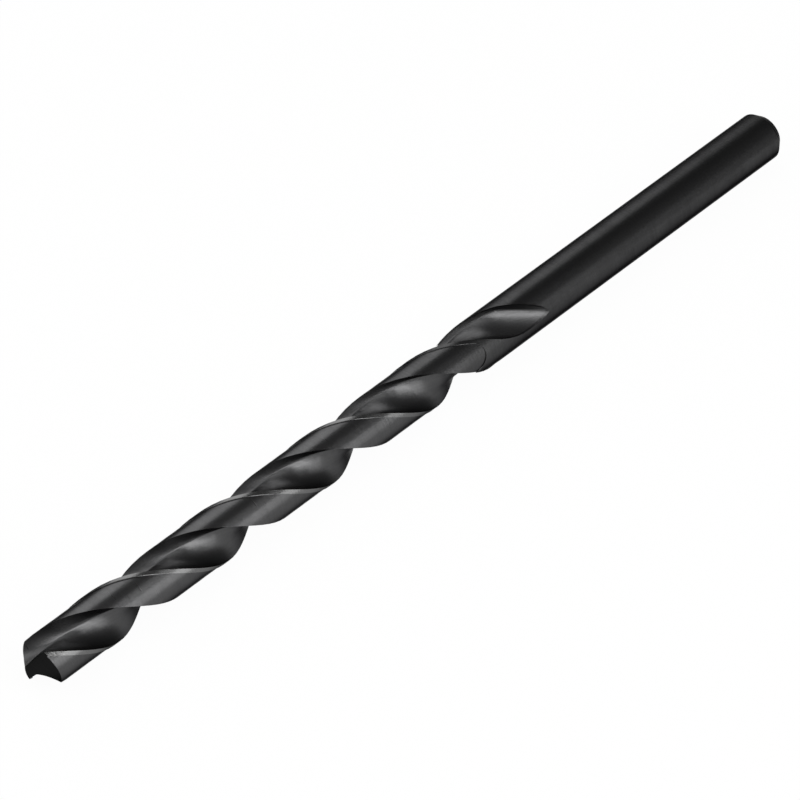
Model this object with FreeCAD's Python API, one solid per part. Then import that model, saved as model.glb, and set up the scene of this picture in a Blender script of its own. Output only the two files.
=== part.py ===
import FreeCAD, Part
import math
import os

from FreeCAD import Placement, Rotation, Vector

# Overall sizes, in millimetres
drill_diameter = 4.40
shank_diameter = 4.34
overall_length = 85.16
shank_chamfer_depth = 0.58
shank_chamfer_length = 0.76

# Flutes: helix, web, heel and the wheel's straight run out of the steel, in millimetres and degrees
helix_lead = 23.3
flute_helix_end = 51.2
web_thickness = 0.90
web_growth_per_mm = 0.024
land_angle = 84.0
heel_radius = 2.14
heel_hook = 25.0
heel_root_radius = 0.18
run_out_angle = 35.0
run_out_lift = 2.0

# Body clearance behind each margin
margin_angle = 10.0
clearance_depth = 0.093
clearance_end = 47.2

# Point: included angle, chisel edge seen from the end, and the cone that each flank is ground on
point_angle = 118.0
chisel_angle = 57.0
grind_cone_angle = 41.4
grind_tilt = 3.1
grind_apex_offset = 1.74

# Turn of the lips about the axis as the drill lies at rest
rest_roll = 123.0

# Values worked out from the driving dimensions
drill_radius = drill_diameter / 2
shank_radius = shank_diameter / 2
clearance_radius = drill_radius - clearance_depth
half_web = web_thickness / 2
half_point = math.radians(point_angle / 2)
lip_slope = 1 / math.tan(half_point)
corner_height = lip_slope * math.sqrt(drill_radius ** 2 - half_web ** 2)
corner_angle = -math.degrees(math.asin(half_web / drill_radius))
heel_angle = land_angle - 180
turn_per_mm = 360 / helix_lead
overcut = 0.35 * drill_diameter
join_height = clearance_end - helix_lead / 4
section_turn = 20.0
axis_z = Vector(0, 0, 1)


def polar(radius, angle, height=0.0):
    """Point at a radius and an angle in degrees round the drill's axis."""
    a = math.radians(angle)
    return Vector(radius * math.cos(a), radius * math.sin(a), height)


def direction_of(vector):
    """Angle in degrees of a vector across the axis."""
    return math.degrees(math.atan2(vector.y, vector.x))


def leading_angle(z):
    """Angle of a land's leading edge at a height above the point."""
    return corner_angle + turn_per_mm * (z - corner_height)


def margin_radius(z):
    """Radius over the margins, which taper back from the point to the shank."""
    share = (z - corner_height) / (flute_helix_end - corner_height)
    return drill_radius + (shank_radius - drill_radius) * min(max(share, 0), 1)


def web_radius(z):
    """Half the web's thickness, which grows from the point to the shank."""
    return half_web + web_growth_per_mm / 2 * max(z, 0)


def line(start, end):
    return Part.LineSegment(start, end).toShape()


def smooth(points, shares):
    """Smooth curve through points, each at its share of the curve, so that like curves loft evenly."""
    curve = Part.BSplineCurve()
    curve.interpolate(Points=points, Parameters=list(shares))
    return curve


def arc(centre, radius, first, last):
    """Arc in the XY plane between two angles in degrees, as one cubic curve that lofts evenly."""
    count = math.ceil(abs(last - first) / 30)
    step = (last - first) / count
    pull = 4 / 3 * math.tan(math.radians(step) / 4) * radius
    poles = [centre + polar(radius, first)]
    for i in range(count):
        start = first + step * i
        end = start + step
        poles += [
            centre + polar(radius, start) + polar(pull, start + 90),
            centre + polar(radius, end) - polar(pull, end + 90),
            centre + polar(radius, end),
        ]
    curve = Part.BSplineCurve()
    curve.buildFromPolesMultsKnots(poles, [4] + [3] * (count - 1) + [4], list(range(count + 1)), False, 3)
    return curve.toShape()


def face_angle(radius, web, edge_radius):
    """Angle of the cutting face behind the leading edge. The face grinds to a straight lip at the point."""
    def lag(r):
        return math.degrees(math.asin(web / r)) + turn_per_mm * lip_slope * math.sqrt(r ** 2 - web ** 2)
    return lag(edge_radius) - lag(radius)


def flute_edges(z, reach):
    """Flute across the axis with its face's edge at angle 0: face, web, root and heel.
    The face and the heel run on past the land by the reach."""
    web = web_radius(z)
    edge_radius = margin_radius(z)
    lip_end_radius = web / math.sin(math.radians(chisel_angle))
    depth = edge_radius - lip_end_radius
    shares = (1.3, 1, 0.6, 0.3, 0.1, 0)
    points = [polar(r, face_angle(r, web, edge_radius)) for r in [lip_end_radius + depth * s for s in shares]]
    face = smooth(points, [1.3 - s for s in shares])
    face_start = face.FirstParameter if reach else 0.3
    lip_end = points[-1]

    floor_angle = direction_of(lip_end) - 90 + chisel_angle
    floor_normal = polar(1, floor_angle)
    floor_run = polar(1, floor_angle - 90)
    heel_direction = heel_angle - 90 + heel_hook
    heel_centre = polar(clearance_radius, heel_angle) - polar(heel_radius, heel_direction)
    to_root = floor_normal * (web + heel_root_radius) - heel_centre
    along = to_root.dot(floor_run)
    shift = math.sqrt(along ** 2 - to_root.dot(to_root) + (heel_radius - heel_root_radius) ** 2) - along
    root_centre = floor_normal * (web + heel_root_radius) + floor_run * shift
    root_direction = direction_of(root_centre - heel_centre) % 360 - 360
    root_start = root_centre - floor_normal * heel_root_radius
    heel_end = heel_direction + math.degrees(reach / heel_radius)
    return [
        face.toShape(face_start, face.LastParameter),
        line(lip_end, root_start),
        arc(root_centre, heel_root_radius, floor_angle - 180, root_direction),
        arc(heel_centre, heel_radius, root_direction, heel_end),
    ]


def flute_section(z):
    """Flute closed by straight lines outside the steel."""
    edges = flute_edges(z, overcut)
    face_start = edges[0].firstVertex().Point
    heel_end = edges[-1].lastVertex().Point
    corner = Vector(face_start.x, heel_end.y, 0) * 1.2
    return Part.Wire(edges + [line(heel_end, corner), line(corner, face_start)])


def drill_section(z):
    """Both flutes and both lands across the axis."""
    edges = []
    origin = Vector()
    edge_radius = margin_radius(z)
    for half in (0, 180):
        margin_start = margin_angle - 180
        edges += [edge.rotated(origin, axis_z, half) for edge in flute_edges(z, 0) + [
            arc(origin, clearance_radius, heel_angle, margin_start),
            line(polar(clearance_radius, margin_start), polar(edge_radius, margin_start)),
            arc(origin, edge_radius, margin_start, -180),
        ]]
    return Part.Wire(edges)


def clearance_section(z):
    """Body clearance across the axis: a shallow band from the margin to past the heel of a land."""
    origin = Vector()
    outer = drill_radius + overcut
    last = land_angle + margin_angle / 2
    return Part.Wire([
        arc(origin, clearance_radius, margin_angle, last),
        line(polar(clearance_radius, last), polar(outer, last)),
        arc(origin, outer, last, margin_angle),
        line(polar(outer, margin_angle), polar(clearance_radius, margin_angle)),
    ])


def helical_solid(section_at, start, end):
    """Solid through sections that turn with the leading edge from one height to another."""
    count = math.ceil((end - start) * turn_per_mm / section_turn)
    wires = []
    for i in range(count + 1):
        z = start + (end - start) * i / count
        wire = section_at(z)
        wire.rotate(Vector(), axis_z, leading_angle(z))
        wire.translate(Vector(0, 0, z))
        wires.append(wire)
    return Part.makeLoft(wires, True, False)


def space_behind(point, direction):
    """Large block behind a plane."""
    size = 2 * overall_length
    block = Part.makeBox(size, size, size, Vector(-size / 2, -size / 2, -size))
    block.Placement = Placement(point, Rotation(axis_z, direction))
    return block


def tilted_run(radial_angle, tilt):
    """Direction along the drill that leans round it by the tilt, seen from outside at an angle."""
    a = math.radians(tilt)
    return polar(math.sin(a), radial_angle + 90) + axis_z * math.cos(a)


def flute_end():
    """Last part of a flute along the helix, then straight on in the wheel's plane until it leaves the steel."""
    helical = helical_solid(flute_section, join_height, flute_helix_end + overcut)
    middle_angle = leading_angle(flute_helix_end) + heel_angle / 2
    run = tilted_run(middle_angle, run_out_angle)
    helical = helical.common(space_behind(Vector(0, 0, flute_helix_end), run))
    planes = [f for f in helical.Faces if f.Surface.TypeId == "Part::GeomPlane"]
    wheel_face = max(planes, key=lambda f: f.CenterOfMass.dot(run))
    lift = polar(math.tan(math.radians(run_out_lift)), middle_angle)
    return [helical, wheel_face.extrude((run + lift) * 2 * drill_diameter)]


def clearance_round_end():
    """Last part of a body clearance along the helix, with a half-round end."""
    helical = helical_solid(clearance_section, join_height, clearance_end + 2 * overcut)
    helix_angle = math.degrees(math.atan(math.pi * drill_diameter / helix_lead))
    half_width = (land_angle - margin_angle) / 2
    middle_angle = leading_angle(clearance_end) + margin_angle + half_width
    centre = Vector(0, 0, clearance_end)
    end_radius = math.radians(half_width) * drill_radius * math.cos(math.radians(helix_angle))
    behind = space_behind(centre, tilted_run(middle_angle, helix_angle))
    round_end = Part.makeCylinder(end_radius, drill_diameter, centre, polar(1, middle_angle))
    return helical.common(behind.fuse(round_end))


def shank():
    """Round bar from the join to the shank's end, with the back taper and the chamfer."""
    corners = [
        Vector(0, 0, join_height),
        Vector(margin_radius(join_height), 0, join_height),
        Vector(shank_radius, 0, flute_helix_end),
        Vector(shank_radius, 0, overall_length - shank_chamfer_length),
        Vector(shank_radius - shank_chamfer_depth, 0, overall_length),
        Vector(0, 0, overall_length),
    ]
    return Part.Face(Part.makePolygon(corners + corners[:1])).revolve(Vector(), axis_z, 360)


def both_sides(tools):
    """Tools with their copies half a turn round."""
    return [tool.rotated(Vector(), axis_z, turn) for tool in tools for turn in (0, 180)]


def flank_waste():
    """Steel taken off by grinding one flank: all near the point outside a cone that has the lip as one of its lines."""
    lip = Vector(math.sin(half_point), 0, math.cos(half_point))
    tilt = math.radians(grind_tilt)
    across = Vector(0, math.cos(tilt), math.sin(tilt))
    across = (across - lip * across.dot(lip)).normalize()
    inward = lip.cross(across)
    spread = math.radians(grind_cone_angle)
    direction = lip * math.cos(spread) + inward * math.sin(spread)
    apex = Vector(-grind_apex_offset, -half_web, -grind_apex_offset * lip_slope)
    height = 4 * drill_diameter
    cone = Part.makeCone(0, height * math.tan(spread), height, apex, direction)
    stock = Part.makeCylinder(drill_diameter, corner_height + drill_diameter, Vector(0, 0, -overcut))
    return stock.cut(cone)


def sides(solid):
    """Faces of a solid but for the flat one at the join."""
    return [f for f in solid.Faces if f.Surface.TypeId != "Part::GeomPlane" or abs(f.CenterOfMass.z - join_height) > 1e-6]


def drill():
    """Whole drill with its axis on Z and its point at the origin: the ground flutes sewn to the rest of the bar."""
    fluted = helical_solid(drill_section, 0, join_height)
    fluted = fluted.cut(both_sides([flank_waste()]))
    bar = shank().cut(both_sides(flute_end()))
    bar = bar.cut(both_sides([clearance_round_end()]))
    return Part.makeSolid(Part.makeShell(sides(fluted) + sides(bar)))


def lie_down(body):
    """Lay the drill along X as it rests, its point toward -X and the middle of the shank's end at the origin."""
    body = body.rotated(Vector(), axis_z, rest_roll)
    body = body.rotated(Vector(), Vector(1, 1, 1), 120)
    return body.translated(Vector(-overall_length, 0, 0))


os.makedirs("parts", exist_ok=True)
body = lie_down(drill())
print("solids", len(body.Solids), "valid", body.isValid(), "faces", len(body.Faces), "volume", body.Volume)
body.exportStep("parts/twist_drill.step")
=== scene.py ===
import math

import bmesh
import bpy
import numpy as np
from bpy.props import FloatProperty, FloatVectorProperty, PointerProperty
from mathutils import Matrix, Vector


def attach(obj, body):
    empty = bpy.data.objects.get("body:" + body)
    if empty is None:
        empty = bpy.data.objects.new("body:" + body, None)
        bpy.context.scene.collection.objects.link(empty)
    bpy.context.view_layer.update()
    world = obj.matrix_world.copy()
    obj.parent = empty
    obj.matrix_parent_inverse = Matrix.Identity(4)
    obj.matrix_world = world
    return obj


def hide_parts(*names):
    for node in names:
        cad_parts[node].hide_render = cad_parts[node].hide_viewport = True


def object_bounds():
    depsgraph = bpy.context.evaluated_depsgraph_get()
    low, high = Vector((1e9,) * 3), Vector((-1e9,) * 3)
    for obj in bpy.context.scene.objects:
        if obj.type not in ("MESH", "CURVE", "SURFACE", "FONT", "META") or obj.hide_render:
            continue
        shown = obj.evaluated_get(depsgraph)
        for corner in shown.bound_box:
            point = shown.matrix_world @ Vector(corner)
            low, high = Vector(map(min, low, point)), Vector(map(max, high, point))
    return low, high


bl_info = {
    "name": "Black Twist Drill",
    "version": (1, 0, 0),
    "blender": (4, 5, 0),
    "location": "3D View > Sidebar > Drill",
    "description": "Black oxide twist drill on a pale studio floor",
    "category": "Object",
}

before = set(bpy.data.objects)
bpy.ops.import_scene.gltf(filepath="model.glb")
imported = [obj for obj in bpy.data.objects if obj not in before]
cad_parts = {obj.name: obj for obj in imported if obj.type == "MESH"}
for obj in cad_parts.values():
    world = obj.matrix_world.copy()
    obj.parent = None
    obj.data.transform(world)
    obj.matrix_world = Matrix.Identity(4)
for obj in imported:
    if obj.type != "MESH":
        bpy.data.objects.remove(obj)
cad_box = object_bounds()

MM = 0.001
DRILL_NODE = "twist_drill"
WHITE = (1.0, 1.0, 1.0)

# Places on the drill. Its axis is X, with the point at the low end and the shank's end face at 0.
FLUTE_LEAD = 23.3 * MM
POINT_START = -83.2 * MM
RUN_OUT_START = -35.0 * MM
SHANK_START = -28.0 * MM
POINT_TIP = -84.47 * MM
OUTSIDE_RADIUS = 2.09 * MM  # The lands, the margins and the shank all lie further out than this

# Where the finish, and the painted shade on the shank, change over, each from no share to a full
# share
OUTSIDE_EDGE = (1.99 * MM, 2.06 * MM)
MARGIN_EDGE = (2.13 * MM, 2.17 * MM)
MARGIN_END = (-40.0 * MM, -48.0 * MM)
# Over this span the outside's colour darkens as painted shade, for the lamps' light falling off
# towards the shank's end
SHANK_PAINTED_SHADE = (-50.0 * MM, SHANK_START)

# Scales of the finish's patterns, in waves for each metre. The ALONG ones run along the marks, and
# the others across them.
ALONG_MARKS = 300.0
FLUTE_MARKS = 5000.0
ROUND_MARKS = 7000.0
FLANK_MARKS = 16000.0
ALONG_FLANK_MARKS = 200.0
SPECKLE = 6000.0
CLOUD = 700.0
FLANK_MARKS_CENTRE = (1.2 * MM, -1.4 * MM)
MARK_DEPTH = 0.02 * MM
MARK_DETAIL = 3.0
MARK_ROUGHNESS = 0.6
EDGE_DIMMING = (0.26, 0.26, 0.26, 1.0)  # What the film leaves of the reflections at the edges

# Shading of the drill's mesh
MERGE_DISTANCE = 0.0005 * MM
FLANK_SLOT = 1
FLANK_LEAN = -0.55  # The X share of a face's normal, below which it is a flank of the point
OUTWARD = 0.7  # The outward share of a face's normal, above which it lies on a cylinder
ROUND_WITHIN = 0.01 * MM  # The most that the corners of a face on a cylinder differ in radius
FACES_POINT = 0.6  # The X share of a face's normal, above which it ends the lands' clearance
END_ROUNDING = 5.0  # Shares of the outward direction in a step's normal, to one of the face's own
SIDE_ROUNDING = 3.0
GROOVE_SPREAD = 0.09 * MM  # How far aside a flute's normals are evened, and how far along it
GROOVE_REACH = 3.0 * MM
RUN_OUT_REACH = 0.5 * MM
LEAST_SAY = 1e-12  # A corner's own say in its normal, which counts where no face has any
UNLIKE = 0.7  # The cosine between two normals, below which one has no say in the other
SAMPLE_STEPS = 4
BATCH = 200  # Corners that are worked out at a time

# Stage
FLOOR_HALF = 3.0
FLOOR_GLOW = 0.965  # The rest of what is seen of the floor is its paint, which takes the shadow
SURROUND_GREY = 0.12
LAMP_TARGET = (-75.0 * MM, 0.0, 0.0)
LAMP_DISTANCE = 0.4
# Name, share along the drill, turn, size and strength of each lamp, as soft_lamp takes them
LAMPS = (
    ("key_lamp", 0.16, 132.0, (0.17, 0.27), 5.2),
    ("low_lamp", 0.34, 162.5, (0.23, 0.23), 2.6),
    ("fill_lamp", 0.42, 35.0, (0.27, 0.36), 2.0),
    ("top_lamp", -0.15, 82.0, (0.34, 0.26), 1.5),
    ("back_lamp", -0.7, 55.0, (0.28, 0.36), 1.8),
)
CAMERA_TURN = 43.8  # Degrees from the drill's axis, and below level
CAMERA_FALL = 44.6
# The tip of the point as the camera sees it: to its right, above it and ahead of it
TIP_IN_VIEW = (-27.53 * MM, -20.18 * MM, 332.8 * MM)


# Shader building

class Socket:
    """Output of a shader node. Python operators on it add the matching Math node."""

    def __init__(self, maker, link):
        self.maker = maker
        self.link = link

    def math(self, operation, *values):
        return self.maker.node("ShaderNodeMath", {"operation": operation}, *values)[0]

    def __add__(self, other):
        return self.math("ADD", self, other)

    def __radd__(self, other):
        return self.math("ADD", other, self)

    def __sub__(self, other):
        return self.math("SUBTRACT", self, other)

    def __rsub__(self, other):
        return self.math("SUBTRACT", other, self)

    def __mul__(self, other):
        return self.math("MULTIPLY", self, other)

    def __rmul__(self, other):
        return self.math("MULTIPLY", other, self)

    def __pow__(self, other):
        return self.math("POWER", self, other)


class MaterialMaker:
    """A node material under construction."""

    def __init__(self, name):
        self.material = bpy.data.materials.new(name)
        self.material.use_nodes = True
        self.tree = self.material.node_tree
        self.tree.nodes.clear()

    def node(self, kind, settings, *inputs, **named):
        """Adds a node and returns its outputs.

        Settings are its own properties. Inputs are values or links of its sockets, in their order,
        where None leaves a socket as it is, or by their names."""
        made = self.tree.nodes.new(kind)
        for key, value in settings.items():
            setattr(made, key, value)
        for index, value in enumerate(inputs):
            self.feed(made.inputs[index], value)
        for key, value in named.items():
            self.feed(made.inputs[key.replace("_", " ")], value)
        return [Socket(self, out) for out in made.outputs]

    def feed(self, socket, value):
        if isinstance(value, Socket):
            self.tree.links.new(value.link, socket)
        elif value is not None:
            socket.default_value = value

    def coordinates(self):
        """Object coordinates as a vector and as its three numbers, in metres."""
        place = self.node("ShaderNodeTexCoord", {})[3]
        return place, self.node("ShaderNodeSeparateXYZ", {}, place)

    def noise(self, place, scale, detail, roughness=0.5):
        return self.node(
            "ShaderNodeTexNoise",
            {},
            Vector=place,
            Scale=scale,
            Detail=detail,
            Roughness=roughness,
        )[0]

    def marks(self, x, y, z):
        """Fine marks from grinding. They run along the coordinate that is scaled least."""
        place = self.node("ShaderNodeCombineXYZ", {}, x, y, z)[0]
        return self.noise(place, 1.0, MARK_DETAIL, MARK_ROUGHNESS)

    def smooth_step(self, value, start, end):
        """0 before start, 1 past end, with a soft change between."""
        settings = {"interpolation_type": "SMOOTHSTEP", "clamp": True}
        return self.node("ShaderNodeMapRange", settings, value, start, end)[0]

    def mix_colour(self, factor, first, second):
        skipped = [None] * 5
        return self.node("ShaderNodeMix", {"data_type": "RGBA"}, factor, *skipped, first, second)[2]

    def dark_metal(self, colour, roughness, height, strength):
        """Metal under a dark film, which also dims its reflections at the edges."""
        bump = self.node(
            "ShaderNodeBump",
            {},
            Strength=strength,
            Distance=MARK_DEPTH,
            Height=height,
        )[0]
        return self.node(
            "ShaderNodeBsdfPrincipled",
            {},
            Base_Color=colour,
            Metallic=1.0,
            Specular_Tint=EDGE_DIMMING,
            Roughness=roughness,
            Normal=bump,
        )[0]

    def finish(self, shader):
        self.node("ShaderNodeOutputMaterial", {}, shader)
        return self.material


def shade(colour, share=1.0):
    """A share of a colour, with the alpha that a socket takes."""
    return (*[min(part * share, 1.0) for part in colour], 1.0)


# Settings that a user would change

class DrillFinishSettings(bpy.types.PropertyGroup):
    oxide_colour: FloatVectorProperty(
        name="Oxide Colour",
        description="Colour of the black oxide on the flutes, the lands and the shank",
        subtype="COLOR",
        default=(0.07, 0.07, 0.071),
        min=0.0,
        max=1.0,
    )
    margin_colour: FloatVectorProperty(
        name="Margin Colour",
        description="Colour of the narrow raised margins, where the oxide is worn thin",
        subtype="COLOR",
        default=(0.15, 0.15, 0.15),
        min=0.0,
        max=1.0,
    )
    ground_colour: FloatVectorProperty(
        name="Ground Colour",
        description="Colour of the ground flanks of the point",
        subtype="COLOR",
        default=(0.012, 0.012, 0.012),
        min=0.0,
        max=1.0,
    )
    flute_roughness: FloatProperty(
        name="Flute Roughness",
        description="How matt the flutes are",
        subtype="FACTOR",
        default=0.33,
        min=0.0,
        max=1.0,
    )
    outside_roughness: FloatProperty(
        name="Outside Roughness",
        description="How matt the lands and the shank are",
        subtype="FACTOR",
        default=0.29,
        min=0.0,
        max=1.0,
    )
    corner_angle: FloatProperty(
        name="Crisp Corner",
        description="Corners sharper than this stay crisp in the shading",
        subtype="ANGLE",
        unit="ROTATION",
        default=math.radians(24),
        min=0.0,
        max=math.pi,
    )


class DrillStageSettings(bpy.types.PropertyGroup):
    floor_colour: FloatVectorProperty(
        name="Floor Colour",
        description="Colour of the floor under the drill",
        subtype="COLOR",
        default=(0.9, 0.9, 0.9),
        min=0.0,
        max=1.0,
    )
    lamp_strength: FloatProperty(
        name="Lamp Strength",
        description="Share of the plain studio light",
        subtype="FACTOR",
        default=1.0,
        min=0.0,
        max=3.0,
    )
    focal_length: FloatProperty(
        name="Focal Length",
        description="Focal length of the camera, in millimetres on a 36 mm sensor",
        subtype="DISTANCE_CAMERA",
        default=200.1,
        min=20.0,
        max=400.0,
    )


# Finishes

def black_oxide(settings):
    """Satin black oxide. Fine marks run along the flutes, and round the lands and the shank."""
    maker = MaterialMaker("black_oxide_steel")
    place, (x, y, z) = maker.coordinates()
    radius = (y * y + z * z) ** 0.5
    outside = maker.smooth_step(radius, *OUTSIDE_EDGE)
    # shank darkens the colour towards the shank's end as painted shade for the light falling off
    # there, and adds a little roughness
    shank = maker.smooth_step(x, *SHANK_PAINTED_SHADE)
    margin = maker.smooth_step(radius, *MARGIN_EDGE) * maker.smooth_step(x, *MARGIN_END)

    # The marks of a flute lie in its untwisted groove, as untwist has it
    turn = x * (2.0 * math.pi / FLUTE_LEAD)
    cosine, sine = turn.math("COSINE", turn), turn.math("SINE", turn)
    groove_y, groove_z = y * cosine + z * sine, z * cosine - y * sine
    flute_marks = maker.marks(x * ALONG_MARKS, groove_y * FLUTE_MARKS, groove_z * FLUTE_MARKS)
    round_marks = maker.marks(x * ROUND_MARKS, y * ALONG_MARKS, z * ALONG_MARKS)
    marks = flute_marks + (round_marks - flute_marks) * outside
    speckle = maker.noise(place, SPECKLE, 2.0)
    cloud = maker.noise(place, CLOUD, 3.0)

    # The film is lightest where this sum is 0 and darkest where it is 1; the shank's share is
    # painted shade for the light falling off towards the shank's end
    film = maker.mix_colour(
        cloud * 0.35 + marks * 0.35 + speckle * 0.35 + shank * outside * 0.55 - 0.25,
        shade(settings.oxide_colour, 1.3),
        shade(settings.oxide_colour, 0.55),
    )
    colour = maker.mix_colour(margin * (0.7 + 0.3 * marks), film, shade(settings.margin_colour))
    flutes, lands = settings.flute_roughness, settings.outside_roughness
    matt = flutes + (lands - flutes) * outside
    roughness = matt - 0.07 + 0.05 * cloud + 0.1 * marks + 0.02 * shank - 0.04 * margin
    return maker.finish(maker.dark_metal(colour, roughness, 0.45 * marks + 0.5 * speckle, 0.5))


def ground_flank(settings):
    """The flanks of the point, darker than the rest of the drill, with curved marks from their
    grinding.
    """
    maker = MaterialMaker("ground_flank_steel")
    _, (x, y, z) = maker.coordinates()
    aside, above = y - FLANK_MARKS_CENTRE[0], z - FLANK_MARKS_CENTRE[1]
    distance = (aside * aside + above * above) ** 0.5
    marks = maker.marks(distance * FLANK_MARKS, x * ALONG_FLANK_MARKS, y * ALONG_FLANK_MARKS)
    colour = maker.mix_colour(
        marks,
        shade(settings.ground_colour, 0.8),
        shade(settings.ground_colour, 1.3),
    )
    return maker.finish(maker.dark_metal(colour, 0.3 + 0.1 * marks, marks, 0.2))


def floor_finish(settings):
    """Pale floor that shows as white, also in reflections, and still takes a soft shadow."""
    maker = MaterialMaker("studio_floor")
    paint = maker.node("ShaderNodeBsdfDiffuse", {}, Color=shade(settings.floor_colour))[0]
    glow = maker.node("ShaderNodeEmission", {}, Color=shade(WHITE), Strength=1.0)[0]
    rays = maker.node("ShaderNodeLightPath", {})
    camera, glossy, transmission = rays[0], rays[3], rays[6]
    seen = camera.math("MAXIMUM", camera, glossy.math("MAXIMUM", glossy, transmission))
    return maker.finish(maker.node("ShaderNodeMixShader", {}, seen * FLOOR_GLOW, paint, glow)[0])


# Shading of the ground surfaces

def unit(rows):
    return rows / np.linalg.norm(rows, axis=1, keepdims=True)


def radial(places):
    """Directions straight out from the drill's axis."""
    return unit(places * (0.0, 1.0, 1.0))


def untwist(rows, x):
    """Turns places or directions back by the twist at x, so that a flute is a straight groove."""
    turn = x * (2.0 * math.pi / FLUTE_LEAD)
    cosine, sine = np.cos(turn), np.sin(turn)
    y, z = rows[:, 1], rows[:, 2]
    return np.stack([rows[:, 0], y * cosine + z * sine, z * cosine - y * sine], axis=1)


def spread_samples(faces):
    """Even places on each triangle, as an array of triangles by samples by three numbers."""
    steps = SAMPLE_STEPS
    shares = [(i + 1 / 3, j + 1 / 3) for i in range(steps) for j in range(steps - i)]
    shares = np.array([(1.0 - (a + b) / steps, a / steps, b / steps) for a, b in shares])
    return np.einsum("sk,fkc->fsc", shares, faces)


def groove_normals(corners, own, faces, flat, areas):
    """Normals at the flutes' face corners, each the mean of the faces along its line of the groove.

    A face has more say the larger it is, the nearer it lies to that line, and the more alike its
    normal and the corner's own are."""
    samples = spread_samples(faces)
    count = samples.shape[1]
    samples = samples.reshape(-1, 3)
    order = np.argsort(samples[:, 0])
    samples = samples[order]
    sample_x = samples[:, 0]
    groove = untwist(samples, sample_x).astype(np.float32)
    direction = untwist(np.repeat(flat, count, axis=0)[order], sample_x).astype(np.float32)
    weight = np.repeat(areas, count)[order].astype(np.float32)

    even = np.empty_like(own)
    order = np.argsort(corners[:, 0])
    for start in range(0, len(order), BATCH):
        part = order[start:start + BATCH]
        x = corners[part, 0]
        here = untwist(corners[part], x).astype(np.float32)
        mine = untwist(own[part], x).astype(np.float32)
        reach = GROOVE_REACH if x[-1] < RUN_OUT_START else RUN_OUT_REACH
        first, last = np.searchsorted(sample_x, (x[0] - reach, x[-1] + reach))
        gap = ((here[:, None, 1:] - groove[None, first:last, 1:]) ** 2).sum(axis=2)
        share = np.exp(-gap / (2.0 * GROOVE_SPREAD ** 2)) * weight[first:last]
        share *= np.clip(mine @ direction[first:last].T - UNLIKE, 0.0, None)
        mean = share @ direction[first:last] + LEAST_SAY * mine
        even[part] = untwist(unit(mean), -x)
    return even


def even_normals(mesh):
    """Sets the shading normals of the drill.

    They point straight out on the lands, margins and shank, are rounded at the small steps beside
    them, and are even along each flute. The flanks and the shank's end keep their own."""
    places = np.array([vertex.co for vertex in mesh.vertices])
    corners = places[[loop.vertex_index for loop in mesh.loops]]
    normals = np.array([corner.vector for corner in mesh.corner_normals])
    flat = np.array([face.normal for face in mesh.polygons])
    areas = np.array([face.area for face in mesh.polygons])
    flank = np.array([face.material_index == FLANK_SLOT for face in mesh.polygons])

    faces = corners.reshape(-1, 3, 3)
    centres = faces.mean(axis=1)
    radius = np.hypot(faces[..., 1], faces[..., 2])
    lowest = radius.min(axis=1)
    lean = (flat[:, 1:] * centres[:, 1:]).sum(axis=1) / radius.mean(axis=1)
    spread = radius.max(axis=1) - lowest
    outside = (lean > OUTWARD) & (lowest > OUTSIDE_RADIUS) & (spread < ROUND_WITHIN)
    fluted = ~outside & ~flank & (centres[:, 0] < SHANK_START)
    flute = fluted & (lowest < OUTSIDE_RADIUS)
    step = fluted & (lowest >= OUTSIDE_RADIUS)
    rounding = np.where(np.abs(flat[:, 0]) > FACES_POINT, END_ROUNDING, SIDE_ROUNDING)

    at = np.repeat(outside, 3)
    normals[at] = radial(corners[at])
    at = np.repeat(step, 3)
    normals[at] = unit(radial(corners[at]) * np.repeat(rounding[step], 3)[:, None] + normals[at])
    at = np.repeat(flute, 3)
    normals[at] = groove_normals(corners[at], normals[at], faces[flute], flat[flute], areas[flute])
    mesh.normals_split_custom_set([tuple(normal) for normal in normals])


# Pieces

class OBJECT_OT_drill_body(bpy.types.Operator):
    """Make the drill with smooth flutes and crisp edges, in black oxide"""
    bl_idname = "object.drill_body"
    bl_label = "Drill Body"

    def execute(self, context):
        settings = context.scene.drill_finish
        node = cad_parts[DRILL_NODE]
        mesh = node.data.copy()
        mesh.name = "drill_body"
        body = bpy.data.objects.new("drill_body", mesh)
        context.collection.objects.link(body)

        # The slots are filled first, because clearing them resets each face's own slot
        mesh.materials.clear()
        mesh.materials.append(black_oxide(settings))
        mesh.materials.append(ground_flank(settings))
        shell = bmesh.new()
        shell.from_mesh(mesh)
        bmesh.ops.remove_doubles(shell, verts=shell.verts, dist=MERGE_DISTANCE)
        for face in shell.faces:
            face.smooth = True
            if face.normal.x < FLANK_LEAN and face.calc_center_median().x < POINT_START:
                face.material_index = FLANK_SLOT
        for edge in shell.edges:
            joined = len(edge.link_faces) == 2
            edge.smooth = joined and edge.calc_face_angle() < settings.corner_angle
        shell.to_mesh(mesh)
        shell.free()
        even_normals(mesh)
        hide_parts(DRILL_NODE)
        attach(body, "root")
        return {"FINISHED"}


# Stage

def soft_lamp(name, along, turn, size, strength):
    """Area lamp that lights the drill from a place beside it.

    along is its share of the way towards the shank, and turn its angle round the drill's axis from
    +Y, in degrees. Sizes are in metres, along the drill first. A lamp as bright as white paper has
    strength 1."""
    aside = math.sqrt(1.0 - along * along)
    angle = math.radians(turn)
    way = Vector((along, aside * math.cos(angle), aside * math.sin(angle)))
    first = (Vector((1.0, 0.0, 0.0)) - way * along).normalized()
    light = bpy.data.lights.new(name, "AREA")
    light.shape = "RECTANGLE"
    light.size, light.size_y = size
    light.energy = strength * math.pi * size[0] * size[1]
    lamp = bpy.data.objects.new(name, light)
    lamp.location = Vector(LAMP_TARGET) + way * LAMP_DISTANCE
    lamp.rotation_euler = Matrix((first, way.cross(first), way)).transposed().to_euler()
    lamp.visible_camera = False
    bpy.context.collection.objects.link(lamp)


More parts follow.
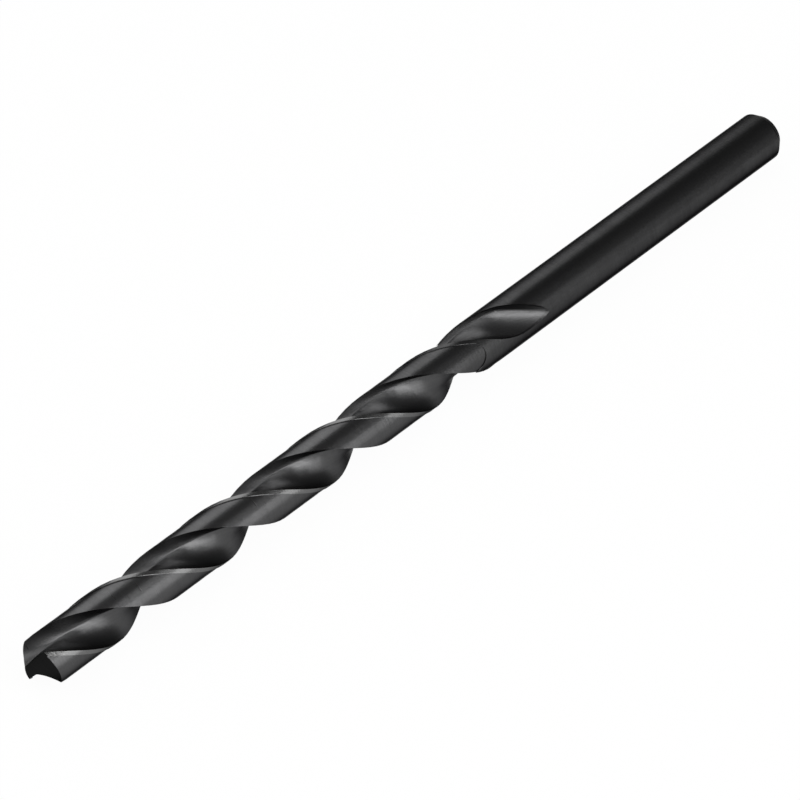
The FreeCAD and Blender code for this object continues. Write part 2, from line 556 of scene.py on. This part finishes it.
class OBJECT_OT_drill_stage(bpy.types.Operator):
    """Make the floor, the lamps, the grey surround and the camera"""
    bl_idname = "object.drill_stage"
    bl_label = "Drill Stage"

    def execute(self, context):
        settings = context.scene.drill_stage
        self.floor(context, settings)
        self.surround(context.scene)
        for name, along, turn, size, strength in LAMPS:
            soft_lamp(name, along, turn, size, strength * settings.lamp_strength)
        self.camera(context, settings)
        return {"FINISHED"}

    def floor(self, context, settings):
        plane = bmesh.new()
        bmesh.ops.create_grid(plane, x_segments=1, y_segments=1, size=FLOOR_HALF)
        bmesh.ops.translate(plane, verts=plane.verts, vec=(0.0, 0.0, cad_box[0][2]))
        mesh = bpy.data.meshes.new("studio_floor")
        plane.to_mesh(mesh)
        plane.free()
        mesh.materials.append(floor_finish(settings))
        floor = bpy.data.objects.new("studio_floor", mesh)
        context.collection.objects.link(floor)

    def surround(self, scene):
        world = bpy.data.worlds.new("studio_surround")
        world.use_nodes = True
        background = world.node_tree.nodes["Background"]
        background.inputs["Color"].default_value = (*[SURROUND_GREY] * 3, 1.0)
        background.inputs["Strength"].default_value = 1.0
        scene.world = world
        scene.view_settings.view_transform = "Standard"

    def camera(self, context, settings):
        """The camera that was fitted to the photo."""
        turn = math.radians(CAMERA_TURN)
        fall = math.radians(CAMERA_FALL)
        level = math.cos(fall)
        look = Vector((level * math.cos(turn), level * math.sin(turn), -math.sin(fall)))
        right = Vector((math.sin(turn), -math.cos(turn), 0.0))
        up = right.cross(look)
        lens = bpy.data.cameras.new("photo_camera")
        lens.lens = settings.focal_length
        lens.sensor_width = 36.0
        lens.clip_start = 0.01
        lens.clip_end = 20.0
        camera = bpy.data.objects.new("photo_camera", lens)
        rightwards, upwards, ahead = TIP_IN_VIEW
        tip = Vector((POINT_TIP, 0.0, 0.0))
        camera.location = tip - right * rightwards - up * upwards - look * ahead
        camera.rotation_euler = look.to_track_quat("-Z", "Y").to_euler()
        context.collection.objects.link(camera)
        context.scene.camera = camera


class VIEW3D_PT_drill(bpy.types.Panel):
    """Sidebar panel with the drill's settings and pieces"""
    bl_label = "Black Twist Drill"
    bl_idname = "VIEW3D_PT_drill"
    bl_space_type = "VIEW_3D"
    bl_region_type = "UI"
    bl_category = "Drill"

    def draw(self, context):
        layout = self.layout
        for group in (context.scene.drill_finish, context.scene.drill_stage):
            for name in group.__annotations__:
                layout.prop(group, name)
        layout.operator("object.drill_body")
        layout.operator("object.drill_stage")


CLASSES = (
    DrillFinishSettings,
    DrillStageSettings,
    OBJECT_OT_drill_body,
    OBJECT_OT_drill_stage,
    VIEW3D_PT_drill,
)


def register():
    for item in CLASSES:
        bpy.utils.register_class(item)
    bpy.types.Scene.drill_finish = PointerProperty(type=DrillFinishSettings)
    bpy.types.Scene.drill_stage = PointerProperty(type=DrillStageSettings)


def unregister():
    del bpy.types.Scene.drill_stage
    del bpy.types.Scene.drill_finish
    for item in reversed(CLASSES):
        bpy.utils.unregister_class(item)


def main():
    register()
    bpy.ops.object.drill_body()
    bpy.ops.object.drill_stage()


if __name__ == "__main__":
    main()
